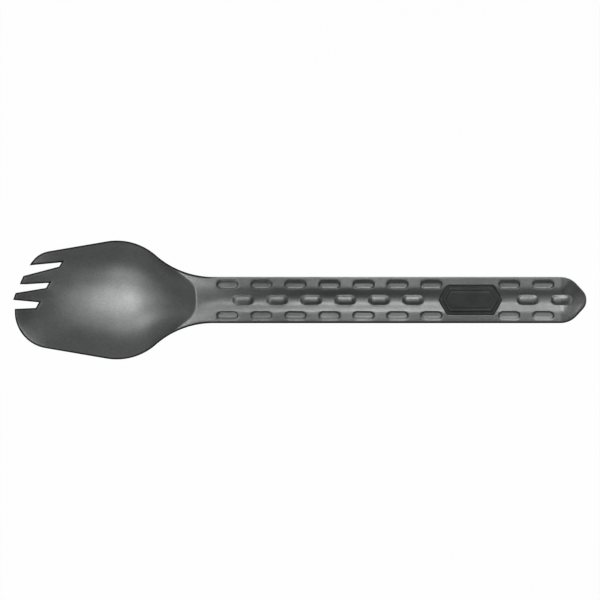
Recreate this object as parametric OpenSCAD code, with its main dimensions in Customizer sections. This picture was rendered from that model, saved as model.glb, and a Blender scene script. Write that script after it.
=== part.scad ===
// Camp spork: one pressed metal sheet with a bowl, four tines and a grip handle,
// and a hexagonal badge plate bonded into a pocket near the handle's end.
// Millimetres. +X runs from the tines to the handle's end, +Z is up, out of the bowl.
// The origin is under the middle of the part, on the surface that it rests on.

/* [Sheet] */
// Overall length, tine tip to handle end
total_len = 205; // [190:1:225]
// Thickness of the sheet
sheet_t = 2; // [1.7:0.1:2.6]

/* [Bowl] */
// Widest part of the bowl
bowl_w = 42.5; // [38:0.1:48]
// Depth of the bowl below its rear rim
bowl_depth = 9; // [7:0.1:11]
// Distance from the foremost tine tip to the widest part
bowl_front_len = 37; // [34:0.1:42]
// Distance from the widest part to the back of the bowl
bowl_rear_len = 29.2; // [26:0.1:33]
// Radius of the back of the bowl, seen from above
bowl_back_r = 9; // [7:0.1:12]
// Angle by which each side narrows towards the tines
side_taper = 9.7; // [6:0.1:12]
// Angle by which the rim falls towards the tines
rim_fall = 1.2; // [0:0.1:4]
// How flat the bowl's floor is across
floor_across = 2.1; // [1.8:0.1:3]
// How flat the bowl's floor is from the middle to the back
floor_back = 2.2; // [1.8:0.1:3]
// How flat the bowl's floor is from the middle to the front
floor_front = 2; // [1.8:0.1:3]
// Height of the tine tips above the bowl's floor, along the middle
lip_rise = 7; // [5:0.1:8]
// Softness of the crease between bowl and handle
crease_soft = 0.3; // [0.2:0.1:1.5]

/* [Tines] */
// How far the first tine's tip lies behind the foremost tip
first_tip_back = 6.5; // [4:0.1:8]
// Radius of the line that the tips follow
tip_line_r = 62; // [40:1:90]
// Radius of the corner beside the first tine
first_corner_r = 9.5; // [8:0.1:11]
// Radius of the corner beside the last tine
last_corner_r = 13.2; // [12:0.1:14]
// Where the side runs into the first tine's corner, behind the foremost tip
first_corner_back = 12.75; // [11.5:0.05:14]
// Where the side runs into the last tine's corner, behind the foremost tip
last_corner_back = 11.55; // [11:0.05:14]
// Across the spork, where the foremost tip lies
foremost_y = 0.2; // [-1:0.1:1]
// Angle between the slot roots and straight across
root_angle = 29; // [20:0.5:35]
// Distance of each slot's root from the foremost tip
slot_back = [16.85, 12.2, 8.6]; // [7:0.05:18]
// Across the spork, where each slot has its root
slot_y = [12.75, 5.25, -1.8]; // [-10:0.05:15]
// Angle of each slot
slot_angle = [10.1, 6.5, -1.4]; // [-10:0.1:15]
// Width of each slot at its root
slot_root_w = [1.3, 1.65, 2]; // [1.2:0.05:2.6]
// Angle by which each side of a slot opens towards the tips
slot_flare = [4.7, 3, 4]; // [1:0.1:6]
// Radius of the corners at a slot's root
slot_corner_r = 0.4; // [0.2:0.05:0.55]

/* [Handle] */
// Width of the handle
handle_w = 16.55; // [14.5:0.05:19]
// Radius of the neck, seen from above
neck_r = 31; // [24:0.5:40]
// Depth of the trough along the handle
trough_depth = 1.05; // [0.6:0.05:1.15]
// Width of the trough
trough_w = 10.2; // [8.5:0.1:12]
// Width of the throat in which the trough starts behind the bowl
throat_w = 22; // [18:0.1:26]
// Distance ahead of the bowl's back at which the trough starts
trough_lead = 10; // [6:0.1:12]
// Length over which the trough narrows and reaches its depth
trough_fade = 18; // [15:0.1:22]
// Width of the dish into which the trough opens at the handle's end
dish_w = 20; // [16:0.1:22]
// Distance from the handle's end to where the dish starts
dish_back = 9; // [8:0.1:12]
// Length over which the trough opens into the dish
dish_len = 6; // [4:0.1:8]
// Depth of the dish as a share of the trough's depth
dish_share = 1.3; // [1:0.05:1.5]
// Radius of the shoulders of the handle's end
end_shoulder_r = 8; // [6:0.1:10]
// Radius of the nose of the handle's end
end_nose_r = 4.8; // [4:0.1:6]
// Angle of the sides of the handle's end
end_angle = 47; // [42:0.5:52]
// Angle at which the handle's end droops to the surface that it rests on
end_tilt = 20; // [16:0.5:25]
// Softness of the fold where the droop starts, as a share of the drooping length
fold_soft = 0.15; // [0.1:0.01:0.4]

/* [Grip] */
// Length of a recessed dash
dash_len = 7.6; // [6:0.05:9]
// Width of a recessed dash
dash_w = 3; // [2.4:0.05:3.5]
// Depth of a recessed dash
dash_depth = 0.6; // [0.3:0.05:0.85]
// Distance from one dash to the next
dash_pitch = 12.15; // [11:0.05:14]
// Distance of the recessed rows from the centreline
dash_row_y = 5.65; // [5.3:0.05:6]
// How far a dash stands out of the lower face
dash_back_h = 0.4; // [0.2:0.05:0.6]
// Length of a raised pad
pad_len = 7.5; // [6:0.05:9]
// Width of a raised pad
pad_w = 3.75; // [3:0.05:4.2]
// Height of a raised pad above the trough
pad_h = 0.75; // [0.4:0.05:0.9]
// Distance from a dash to the next pad, counted away from the badge
pad_shift = 6.6; // [5.5:0.05:7.5]
// Depth of the hollow behind a pad
pad_back_depth = 0.5; // [0.2:0.05:0.7]
// How much smaller all round a hollow or dash is on the lower face
back_inset = 0.3; // [0.1:0.05:0.5]

/* [Badge] */
// Distance from the handle's end to the badge's middle
badge_back = 41.6; // [38:0.1:46]
// Length of the badge, point to point
badge_len = 22.6; // [20:0.1:25]
// Length of the badge's straight sides
badge_flat = 16.6; // [14:0.1:18]
// Width of the badge
badge_w = 10.6; // [9:0.1:11.2]
// Radius of the corners between the badge's straight sides and its slants
badge_corner_r = 1.6; // [1.3:0.1:2.5]
// Radius of the badge's two points
badge_point_r = 0.3; // [0.2:0.05:1]
// Thickness of the badge's base
badge_base_t = 0.55; // [0.4:0.05:0.6]
// Height of the badge's raised field above its base
field_t = 0.25; // [0.1:0.05:0.3]
// Width of the border around the raised field
field_border = 1.1; // [0.6:0.1:2]
// Thickness of the bonding film
film_t = 0.15; // [0.1:0.05:0.25]
// Space between the badge and its pocket, each side
badge_clear = 0.1; // [0.05:0.05:0.2]
// Depth of the badge's top below the handle's flanges
badge_sunk = 0.25; // [0.15:0.05:0.4]
// Space between the badge's corners and the nearest dashes
badge_gap = 1.8; // [1:0.1:3]

/* [Hidden] */
$fn = 48;
eps = 0.01;

// Places along the length
front_x = -total_len / 2;
end_x = total_len / 2;
bowl_x = front_x + bowl_front_len;
back_x = bowl_x + bowl_rear_len;
badge_x = end_x - badge_back;

// Plan outline: tapered side, shoulder arc, neck arc, straight handle, rounded end
shoulder_r = bowl_w / 2;
half_handle = handle_w / 2;
side_end_x = bowl_x - shoulder_r * sin(side_taper);
side_end_y = shoulder_r * cos(side_taper);
neck_angle = acos((half_handle + neck_r) / (shoulder_r + neck_r));
shoulder_end_x = bowl_x + shoulder_r * sin(neck_angle);
neck_end_x = bowl_x + (shoulder_r + neck_r) * sin(neck_angle);
end_turn_y = half_handle - end_shoulder_r * (1 - cos(end_angle));
end_nose_y = end_nose_r * cos(end_angle);
end_nose_x = end_x - end_nose_r * (1 - sin(end_angle));
end_turn_x = end_nose_x - (end_turn_y - end_nose_y) / tan(end_angle);
end_start_x = end_turn_x - end_shoulder_r * sin(end_angle);

function side_half(x) = side_end_y - (side_end_x - x) * tan(side_taper);
function arc_half(r, run) = sqrt(max(0, r * r - run * run));
function end_half(x) =
    x < end_start_x ? half_handle :
    x < end_turn_x ? half_handle - end_shoulder_r + arc_half(end_shoulder_r, x - end_start_x) :
    x < end_nose_x ? end_turn_y - (x - end_turn_x) * tan(end_angle) :
    arc_half(end_nose_r, x - end_x + end_nose_r);
function outline_half(x) =
    x < side_end_x ? side_half(x) :
    x < shoulder_end_x ? arc_half(shoulder_r, x - bowl_x) :
    x < neck_end_x ? half_handle + neck_r - arc_half(neck_r, neck_end_x - x) :
    end_half(x);

// Bowl edge: the outline's sides, then straight tangents to the arc at the back
back_centre_x = back_x - bowl_back_r;
back_angle = asin((shoulder_r - bowl_back_r) / (back_centre_x - bowl_x));
tangent_start_x = bowl_x + shoulder_r * sin(back_angle);
tangent_end_x = back_centre_x + bowl_back_r * sin(back_angle);
function bowl_half(x) =
    x < side_end_x ? side_half(x) :
    x < tangent_start_x ? arc_half(shoulder_r, x - bowl_x) :
    x < tangent_end_x ? shoulder_r * cos(back_angle) - (x - tangent_start_x) * tan(back_angle) :
    arc_half(bowl_back_r, x - back_centre_x);

// Heights of the upper face
floor_z = sheet_t;
back_rim_z = floor_z + bowl_depth;
end_drop_len = end_x - end_start_x;
arch_len = end_x - back_x;
end_top_z = sheet_t / cos(end_tilt) + trough_depth * dish_share;
end_reach = end_drop_len * (1 + fold_soft) / (1 + 2 * fold_soft);
end_fall = end_reach * (tan(rim_fall) + tan(end_tilt));
arch_rise = back_rim_z + arch_len * tan(rim_fall) - end_top_z;
arch_curve = (arch_rise - end_fall) / (arch_len * (arch_len - 2 * end_reach));
end_drop = end_fall - 2 * end_reach * arch_curve * arch_len;
dish_x = end_x - dish_back;
function ease(s) = let(c = min(1, max(0, s))) c * c * (3 - 2 * c);
function fold(s) = s * s * (1 + fold_soft) / (s + fold_soft);
function flange_z(x) =
    back_rim_z + (x - back_x) * tan(rim_fall) - arch_curve * pow(max(0, x - back_x), 2)
        - end_drop * fold(max(0, x - end_start_x) / end_drop_len);
function trough_z(x, y) =
    let(start = ease((x - back_x + trough_lead) / trough_fade),
        dish = ease((x - dish_x) / dish_len),
        width = throat_w + (trough_w - throat_w) * start + (dish_w - trough_w) * dish)
    abs(y) > width / 2 ? 0 :
    -trough_depth * (1 + cos(360 * y / width)) / 2 * start * (1 + (dish_share - 1) * dish);
function keel_z(x) =
    x < bowl_x ? floor_z + lip_rise * pow((bowl_x - x) / bowl_front_len, floor_front) :
    floor_z + bowl_depth * pow((x - bowl_x) / bowl_rear_len, floor_back);
function bowl_z(x, y) =
    keel_z(x) + (flange_z(x) - keel_z(x)) * pow(abs(y) / bowl_half(x), floor_across);
function soft_min(a, b) =
    let(h = min(1, max(0, 0.5 + (b - a) / crease_soft / 2)))
    b + (a - b) * h - crease_soft * h * (1 - h);
function upper_z(x, y) =
    let(flange = flange_z(x) + trough_z(x, y))
    x > back_x - eps ? flange : soft_min(flange, bowl_z(x, y));

// The lower face lies one sheet thickness below, measured square to the upper face
function slope_x(x, y) = (upper_z(x + eps, y) - upper_z(x - eps, y)) / (2 * eps);
function slope_y(x, y) = (upper_z(x, y + eps) - upper_z(x, y - eps)) / (2 * eps);
function lower_z(x, y) =
    upper_z(x, y) - sheet_t * sqrt(1 + pow(slope_x(x, y), 2) + pow(slope_y(x, y), 2));

// Rows of the sheet along the length and columns across it
front_spare = 2;
bowl_rows = 24;
crease_rows = 18;
handle_rows = 24;
end_rows = 14;
columns = 24;
end_flat = 0.5;
end_last_x = end_x - end_nose_r + arc_half(end_nose_r, end_flat);
function span(from, to, count) = [for (i = [0 : count - 1]) from + (to - from) * i / count];
row_x = concat(
    span(front_x - front_spare, tangent_start_x, bowl_rows),
    span(tangent_start_x, back_x + crease_soft, crease_rows),
    span(back_x + crease_soft, end_start_x, handle_rows),
    [for (i = [0 : end_rows]) end_start_x + (end_last_x - end_start_x) * sin(90 * i / end_rows)]);
rows = len(row_x);
row_len = columns + 1;
function row_y(x, j) = outline_half(x) * (2 * j / columns - 1);

// Closed sheet: upper and lower faces joined by a wall all round
function upper_i(i, j) = i * row_len + j;
function lower_i(i, j) = rows * row_len + upper_i(i, j);
function quad(a, b, c, d) = [[a, b, c], [a, c, d]];
function flat_list(lists) = [for (list = lists) for (item = list) item];
sheet_points = concat(
    [for (x = row_x) for (j = [0 : columns]) let(y = row_y(x, j)) [x, y, upper_z(x, y)]],
    [for (x = row_x) for (j = [0 : columns]) let(y = row_y(x, j)) [x, y, lower_z(x, y)]]);
sheet_faces = flat_list(concat(
    [for (i = [0 : rows - 2]) for (j = [0 : columns - 1])
        quad(upper_i(i, j), upper_i(i, j + 1), upper_i(i + 1, j + 1), upper_i(i + 1, j))],
    [for (i = [0 : rows - 2]) for (j = [0 : columns - 1])
        quad(lower_i(i, j), lower_i(i + 1, j), lower_i(i + 1, j + 1), lower_i(i, j + 1))],
    [for (i = [0 : rows - 2])
        quad(upper_i(i, 0), upper_i(i + 1, 0), lower_i(i + 1, 0), lower_i(i, 0))],
    [for (i = [0 : rows - 2])
        quad(upper_i(i, columns), lower_i(i, columns), lower_i(i + 1, columns), upper_i(i + 1, columns))],
    [for (j = [0 : columns - 1])
        quad(upper_i(0, j), lower_i(0, j), lower_i(0, j + 1), upper_i(0, j + 1))],
    [for (j = [0 : columns - 1])
        quad(upper_i(rows - 1, j), upper_i(rows - 1, j + 1), lower_i(rows - 1, j + 1), lower_i(rows - 1, j))]));

// Front outline: the side's corners and the line of the tine tips
first_corner_x = front_x + first_corner_back;
last_corner_x = front_x + last_corner_back;
trim_x = max(first_corner_x, last_corner_x) + front_spare;
first_tip_x = front_x + first_tip_back;
function corner_centre(x, r) = [x + r * sin(side_taper), side_half(x) - r * cos(side_taper)];
function arc_points(centre, r, from, to, count) =
    [for (i = [0 : count]) let(a = from + (to - from) * i / count) centre + r * [cos(a), sin(a)]];
function arc_centre(p, q, r) =
    let(chord = q - p, square = [chord[1], -chord[0]] / norm(chord))
    (p + q) / 2 + square * sqrt(r * r - chord * chord / 4);
function angle_at(centre, p) = atan2(p[1] - centre[1], p[0] - centre[0]);
first_centre = corner_centre(first_corner_x, first_corner_r);
first_tip = [first_tip_x, first_centre[1] + arc_half(first_corner_r, first_tip_x - first_centre[0])];
foremost_tip = [front_x, foremost_y];
tip_centre = arc_centre(foremost_tip, first_tip, tip_line_r);
last_mirrored = corner_centre(last_corner_x, last_corner_r);
last_centre = [last_mirrored[0], -last_mirrored[1]];
arc_steps = 12;
front_outline = concat(
    [[trim_x, -bowl_w], [last_corner_x, -bowl_w]],
    arc_points(last_centre, last_corner_r, 270 - side_taper, 180, arc_steps),
    arc_points(tip_centre, tip_line_r, angle_at(tip_centre, foremost_tip) + 360,
        angle_at(tip_centre, first_tip) + 360, arc_steps),
    arc_points(first_centre, first_corner_r, angle_at(first_centre, first_tip), 90 + side_taper, arc_steps),
    [[first_corner_x, bowl_w], [trim_x, bowl_w]]);

// Slots between the tines, each from its slanted root outwards
slot_reach = max(slot_back) + front_spare;
function slot_root(k) = [front_x + slot_back[k], slot_y[k]];
module slot(k) {
    half_root = slot_root_w[k] / 2;
    half_mouth = half_root + slot_reach * tan(slot_flare[k]);
    skew = half_root * tan(root_angle - slot_angle[k]);
    translate(slot_root(k))
        rotate(slot_angle[k])
            offset(r = slot_corner_r)
                offset(delta = -slot_corner_r)
                    polygon([[skew, half_root], [-skew, -half_root],
                        [-slot_reach, -half_mouth], [-slot_reach, half_mouth]]);
}

cut_z = 3 * back_rim_z;
module front_cut() {
    translate([0, 0, -back_rim_z])
        linear_extrude(cut_z) {
            difference() {
                translate([front_x - 2 * front_spare, -bowl_w])
                    square([trim_x - front_x + 2 * front_spare, 2 * bowl_w]);
                polygon(front_outline);
            }
            for (k = [0 : len(slot_y) - 1])
                slot(k);
        }
}

// Places of the grip marks, counted from the badge towards the neck and towards the end
grip_front_x = badge_x - badge_flat / 2 - badge_gap;
grip_rear_x = badge_x + badge_flat / 2 + badge_gap;
front_dashes = floor((grip_front_x - neck_end_x - dash_len) / dash_pitch) + 1;
rear_dashes = floor((end_start_x - grip_rear_x - dash_len) / dash_pitch) + 1;
dash_x = concat(
    [for (i = [0 : 1 : front_dashes - 1]) grip_front_x - dash_len / 2 - i * dash_pitch],
    [for (i = [0 : 1 : rear_dashes - 1]) grip_rear_x + dash_len / 2 + i * dash_pitch]);
pad_x = concat(
    [for (i = [0 : 1 : front_dashes - 2]) grip_front_x - dash_len / 2 - i * dash_pitch - pad_shift],
    [for (i = [0 : 1 : rear_dashes - 1]) grip_rear_x + dash_len / 2 + i * dash_pitch + pad_shift]);

// Puts its children on the handle's flange plane at x, level with the arch there
module on_handle(x) {
    rise = (flange_z(x + 1) - flange_z(x - 1)) / 2;
    translate([x, 0, flange_z(x)])
        rotate([0, -atan(rise), 0])
            children();
}

module stadium(length, width) {
    square([length - width, width], center = true);
    for (side = [-1, 1])
        translate([side * (length - width) / 2, 0])
            circle(d = width);
}

// Puts its children at every recessed dash, on the flange plane
module at_dashes() {
    for (x = dash_x)
        for (side = [-1, 1])
            on_handle(x)
                translate([0, side * dash_row_y, 0])
                    children();
}

// Puts its children at every raised pad, on the floor of the trough
module at_pads() {
    for (x = pad_x)
        on_handle(x)
            translate([0, 0, trough_z(x, 0)])
                children();
}

half_t = sheet_t / 2;
module dash_recess() {
    translate([0, 0, -dash_depth])
        linear_extrude(sheet_t)
            stadium(dash_len, dash_w);
}

module dash_back() {
    translate([0, 0, -sheet_t - dash_back_h])
        linear_extrude(dash_back_h + half_t)
            stadium(dash_len - 2 * back_inset, dash_w - 2 * back_inset);
}

module pad() {
    translate([0, 0, -half_t])
        linear_extrude(half_t + pad_h)
            stadium(pad_len, pad_w);
}

module pad_hollow() {
    translate([0, 0, pad_back_depth - 2 * sheet_t])
        linear_extrude(sheet_t)
            stadium(pad_len - 2 * back_inset, pad_w - 2 * back_inset);
}

// Hexagon with round corners and its points along X, drawn in by an equal distance on every side
point_angle = atan2(badge_w / 2, (badge_len - badge_flat) / 2);
least_r = 0.1;
corner_steps = 6;
module badge_outline(inset) {
    corner_r = max(least_r, badge_corner_r - inset);
    point_r = max(least_r, badge_point_r - inset);
    corner_y = badge_w / 2 - inset - corner_r;
    corner_x = badge_len / 2 - (inset + corner_r) / sin(point_angle) - corner_y / tan(point_angle);
    point_x = badge_len / 2 - (inset + point_r) / sin(point_angle);
    lean = 90 - point_angle;
    polygon(concat(
        arc_points([point_x, 0], point_r, -lean, lean, corner_steps),
        arc_points([corner_x, corner_y], corner_r, lean, 90, corner_steps),
        arc_points([-corner_x, corner_y], corner_r, 90, 180 - lean, corner_steps),
        arc_points([-point_x, 0], point_r, 180 - lean, 180 + lean, corner_steps),
        arc_points([-corner_x, -corner_y], corner_r, 180 + lean, 270, corner_steps),
        arc_points([corner_x, -corner_y], corner_r, 270, 360 - lean, corner_steps)));
}

badge_top_t = badge_base_t + field_t;
film_z = -badge_sunk - badge_top_t - film_t;
module badge_pocket() {
    on_handle(badge_x)
        translate([0, 0, film_z])
            linear_extrude(sheet_t + cut_z)
                badge_outline(-badge_clear);
}

module spork_body() {
    color([0.42, 0.43, 0.43])
        difference() {
            union() {
                polyhedron(sheet_points, sheet_faces);
                at_pads() pad();
                at_dashes() dash_back();
            }
            front_cut();
            at_dashes() dash_recess();
            at_pads() pad_hollow();
            badge_pocket();
        }
}

module badge_plate() {
    color([0.16, 0.17, 0.17])
        on_handle(badge_x)
            translate([0, 0, film_z + film_t]) {
                linear_extrude(badge_base_t)
                    badge_outline(0);
                linear_extrude(badge_top_t)
                    badge_outline(field_border);
            }
}

module badge_adhesive() {
    color([0.75, 0.74, 0.7])
        on_handle(badge_x)
            translate([0, 0, film_z])
                linear_extrude(film_t)
                    badge_outline(badge_clear);
}

spork_body();
badge_plate();
badge_adhesive();
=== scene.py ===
"""Spork on a white floor, seen from straight above.

The sheet is worked out in millimetres from the same sizes as its solid, then put into metres.
"""
import math

import bpy
import numpy as np
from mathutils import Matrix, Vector


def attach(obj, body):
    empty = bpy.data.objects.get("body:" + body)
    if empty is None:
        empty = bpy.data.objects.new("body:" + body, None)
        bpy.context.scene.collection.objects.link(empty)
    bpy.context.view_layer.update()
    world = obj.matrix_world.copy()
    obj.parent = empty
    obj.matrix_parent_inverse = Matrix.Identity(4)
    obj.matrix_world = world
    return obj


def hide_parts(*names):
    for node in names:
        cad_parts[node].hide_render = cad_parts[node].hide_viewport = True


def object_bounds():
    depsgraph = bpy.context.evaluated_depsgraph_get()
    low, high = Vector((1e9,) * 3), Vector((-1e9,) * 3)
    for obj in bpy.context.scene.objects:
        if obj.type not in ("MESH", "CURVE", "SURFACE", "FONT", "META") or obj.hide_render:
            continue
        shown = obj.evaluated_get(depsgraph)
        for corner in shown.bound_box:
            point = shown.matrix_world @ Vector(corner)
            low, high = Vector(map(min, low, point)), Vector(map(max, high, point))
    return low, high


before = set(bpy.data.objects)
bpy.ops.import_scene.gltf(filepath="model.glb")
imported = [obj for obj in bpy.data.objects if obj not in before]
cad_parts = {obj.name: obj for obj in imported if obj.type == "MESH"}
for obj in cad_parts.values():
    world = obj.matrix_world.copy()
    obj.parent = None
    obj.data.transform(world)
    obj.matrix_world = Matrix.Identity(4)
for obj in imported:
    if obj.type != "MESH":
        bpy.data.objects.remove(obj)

cad_low, cad_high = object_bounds()
MM = 0.001

# Sheet and bowl sizes
TOTAL_LEN = 205.0
SHEET_T = 2.0
BOWL_W = 42.5
BOWL_DEPTH = 9.0
BOWL_FRONT_LEN = 37.0
BOWL_REAR_LEN = 29.2
BOWL_BACK_R = 9.0
SIDE_TAPER = math.radians(9.7)
RIM_RISE = math.tan(math.radians(1.2))
FLOOR_ACROSS = 2.1
FLOOR_BACK = 2.2
FLOOR_FRONT = 2.0
LIP_RISE = 7.0
CREASE_SOFT = 0.3

# Tine sizes, from the short first tine to the broad last one
FIRST_TIP_BACK = 6.5
TIP_LINE_R = 62.0
FIRST_CORNER_R = 9.5
LAST_CORNER_R = 13.2
FIRST_CORNER_BACK = 12.75
LAST_CORNER_BACK = 11.55
FOREMOST_Y = 0.2
ROOT_SLANT = math.tan(math.radians(29.0))
SLOT_BACK = (16.85, 12.2, 8.6)
SLOT_Y = (12.75, 5.25, -1.8)
SLOT_ANGLE = np.radians((10.1, 6.5, -1.4))
SLOT_ROOT_W = (1.3, 1.65, 2.0)
SLOT_FLARE = np.radians((4.7, 3.0, 4.0))

# Handle, grip and badge sizes
HANDLE_W = 16.55
NECK_R = 31.0
TROUGH_DEPTH = 1.05
TROUGH_W = 10.2
THROAT_W = 22.0
TROUGH_LEAD = 10.0
TROUGH_FADE = 18.0
DISH_W = 20.0
DISH_BACK = 9.0
DISH_LEN = 6.0
DISH_SHARE = 1.3
END_SHOULDER_R = 8.0
END_NOSE_R = 4.8
END_ANGLE = math.radians(47.0)
END_TILT = math.radians(20.0)
FOLD_SOFT = 0.15
DASH_LEN = 7.6
DASH_W = 3.0
DASH_DEPTH = 0.6
DASH_PITCH = 12.15
DASH_ROW_Y = 5.65
FRONT_DASHES = 7
REAR_DASHES = 2
PAD_LEN = 7.5
PAD_W = 3.75
PAD_H = 0.75
PAD_SHIFT = 6.6
BADGE_BACK = 41.6
BADGE_LEN = 22.6
BADGE_FLAT = 16.6
BADGE_W = 10.6
BADGE_BASE_T = 0.55
FIELD_T = 0.25
FILM_T = 0.15
BADGE_CLEAR = 0.1
BADGE_SUNK = 0.25
BADGE_GAP = 1.8

# Places that follow from the sizes
FRONT_X = -TOTAL_LEN / 2
END_X = TOTAL_LEN / 2
BOWL_X = FRONT_X + BOWL_FRONT_LEN
BACK_X = BOWL_X + BOWL_REAR_LEN
BADGE_X = END_X - BADGE_BACK
DISH_X = END_X - DISH_BACK
SHOULDER_R = BOWL_W / 2
HALF_HANDLE = HANDLE_W / 2
NECK_ANGLE = math.acos((HALF_HANDLE + NECK_R) / (SHOULDER_R + NECK_R))
NECK_END_X = BOWL_X + (SHOULDER_R + NECK_R) * math.sin(NECK_ANGLE)
END_TURN_Y = HALF_HANDLE - END_SHOULDER_R * (1 - math.cos(END_ANGLE))
END_NOSE_X = END_X - END_NOSE_R * (1 - math.sin(END_ANGLE))
END_TURN_X = END_NOSE_X - (END_TURN_Y - END_NOSE_R * math.cos(END_ANGLE)) / math.tan(END_ANGLE)
END_START_X = END_TURN_X - END_SHOULDER_R * math.sin(END_ANGLE)
BACK_CENTRE_X = BACK_X - BOWL_BACK_R
BACK_ANGLE = math.asin((SHOULDER_R - BOWL_BACK_R) / (BACK_CENTRE_X - BOWL_X))
FLOOR_Z = SHEET_T
BACK_RIM_Z = FLOOR_Z + BOWL_DEPTH
END_DROP_LEN = END_X - END_START_X
ARCH_LEN = END_X - BACK_X
END_TOP_Z = SHEET_T / math.cos(END_TILT) + TROUGH_DEPTH * DISH_SHARE
END_REACH = END_DROP_LEN * (1 + FOLD_SOFT) / (1 + 2 * FOLD_SOFT)
END_FALL = END_REACH * (RIM_RISE + math.tan(END_TILT))
ARCH_RISE = BACK_RIM_Z + ARCH_LEN * RIM_RISE - END_TOP_Z
ARCH_CURVE = (ARCH_RISE - END_FALL) / (ARCH_LEN * (ARCH_LEN - 2 * END_REACH))
END_DROP = END_FALL - 2 * END_REACH * ARCH_CURVE * ARCH_LEN
GRIP_FRONT_X = BADGE_X - BADGE_FLAT / 2 - BADGE_GAP
GRIP_REAR_X = BADGE_X + BADGE_FLAT / 2 + BADGE_GAP
FRONT_FIRST_X = GRIP_FRONT_X - DASH_LEN / 2
REAR_FIRST_X = GRIP_REAR_X + DASH_LEN / 2
DASH_X = np.concatenate((FRONT_FIRST_X - DASH_PITCH * np.arange(FRONT_DASHES),
                         REAR_FIRST_X + DASH_PITCH * np.arange(REAR_DASHES)))
PAD_X = np.concatenate((FRONT_FIRST_X - DASH_PITCH * np.arange(FRONT_DASHES - 1) - PAD_SHIFT,
                        REAR_FIRST_X + DASH_PITCH * np.arange(REAR_DASHES) + PAD_SHIFT))

# Least lengths, which keep divisions sound, and the distance that is kept inside the solid's faces
REACH_LEAST = 0.01
FACING_LEAST = 0.001
STEP_LEAST = 1e-9
EDGE_CLEAR = 0.01


def ease(s):
    """Smooth step from 0 to 1 over the unit interval."""
    s = np.clip(s, 0.0, 1.0)
    return s * s * (3 - 2 * s)


def arc_half(radius, run):
    """Height of a circle's arc at a distance along its diameter."""
    return np.sqrt(np.maximum(0.0, radius ** 2 - run ** 2))


def side_half(x, inset=0.0):
    """Half the bowl's width on its straight flared sides."""
    shoulder = SHOULDER_R - inset
    run = x - BOWL_X + shoulder * math.sin(SIDE_TAPER)
    return shoulder * math.cos(SIDE_TAPER) + run * math.tan(SIDE_TAPER)


def plan_half(x, inset=0.0):
    """Half the sheet's width at x: flared side, shoulder arc, hollow neck arc, straight handle,
    then the end's shoulder arc, slant and nose arc, all drawn in by the inset."""
    shoulder = SHOULDER_R - inset
    neck = NECK_R + inset
    half = HALF_HANDLE - inset
    end_shoulder = END_SHOULDER_R - inset
    nose = END_NOSE_R - inset
    turn_x = END_START_X + end_shoulder * math.sin(END_ANGLE)
    turn_y = half - end_shoulder * (1 - math.cos(END_ANGLE))
    nose_centre = END_X - END_NOSE_R
    stretches = [
        x < BOWL_X - shoulder * math.sin(SIDE_TAPER),
        x < BOWL_X + shoulder * math.sin(NECK_ANGLE),
        x < NECK_END_X,
        x < END_START_X,
        x < turn_x,
        x < nose_centre + nose * math.sin(END_ANGLE),
    ]
    heights = [
        side_half(x, inset),
        arc_half(shoulder, x - BOWL_X),
        half + neck - arc_half(neck, NECK_END_X - x),
        half + 0 * x,
        half - end_shoulder + arc_half(end_shoulder, x - END_START_X),
        turn_y - (x - turn_x) * math.tan(END_ANGLE),
    ]
    return np.select(stretches, heights, arc_half(nose, x - nose_centre))


def bowl_half(x):
    """Half the bowl's own width: flared side, shoulder arc, tangent line and small back arc."""
    tangent_start = BOWL_X + SHOULDER_R * math.sin(BACK_ANGLE)
    tangent_end = BACK_CENTRE_X + BOWL_BACK_R * math.sin(BACK_ANGLE)
    stretches = [x < BOWL_X - SHOULDER_R * math.sin(SIDE_TAPER), x < tangent_start, x < tangent_end]
    heights = [
        side_half(x),
        arc_half(SHOULDER_R, x - BOWL_X),
        SHOULDER_R * math.cos(BACK_ANGLE) - (x - tangent_start) * math.tan(BACK_ANGLE),
    ]
    return np.select(stretches, heights, arc_half(BOWL_BACK_R, x - BACK_CENTRE_X))


def flange_z(x):
    """Rim and handle level: a straight rise to the bowl's back, a parabola along the handle,
    and a soft fold from which the end droops."""
    run = np.maximum(0.0, x - BACK_X)
    past = np.maximum(0.0, x - END_START_X) / END_DROP_LEN
    droop = past ** 2 * (1 + FOLD_SOFT) / (past + FOLD_SOFT)
    return BACK_RIM_Z + (x - BACK_X) * RIM_RISE - ARCH_CURVE * run ** 2 - END_DROP * droop


def trough_z(x, y):
    """Depth of the handle's trough: one cosine wave across, which narrows from a broad throat
    behind the bowl and widens into a shallow dish at the handle's end."""
    dish = ease((x - DISH_X) / DISH_LEN)
    start = ease((x - BACK_X + TROUGH_LEAD) / TROUGH_FADE)
    along = start * (1 - (1 - DISH_SHARE) * dish)
    width = THROAT_W + (TROUGH_W - THROAT_W) * start + (DISH_W - TROUGH_W) * dish
    across = (1 + np.cos(2 * math.pi * np.clip(y / width, -0.5, 0.5))) / 2
    return -TROUGH_DEPTH * across * along


def bowl_z(x, y):
    """Bowl surface: a power curve along the keel and another from the keel up to the rim."""
    ahead = np.clip((BOWL_X - x) / BOWL_FRONT_LEN, 0.0, 1.0) ** FLOOR_FRONT
    behind = np.clip((x - BOWL_X) / BOWL_REAR_LEN, 0.0, 1.0) ** FLOOR_BACK
    keel = FLOOR_Z + LIP_RISE * ahead + BOWL_DEPTH * behind
    reach = np.maximum(bowl_half(x), REACH_LEAST)
    return keel + (flange_z(x) - keel) * (np.abs(y) / reach) ** FLOOR_ACROSS


def sheet_z(x, y):
    """Upper face before the grip marks: the lower of handle and bowl, with a soft crease."""
    handle = flange_z(x) + trough_z(x, y)
    bowl = np.where(x < BACK_X, bowl_z(x, y), handle + CREASE_SOFT)
    share = np.clip(0.5 + (bowl - handle) / CREASE_SOFT / 2, 0.0, 1.0)
    return bowl + (handle - bowl) * share - CREASE_SOFT * share * (1 - share)


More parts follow.
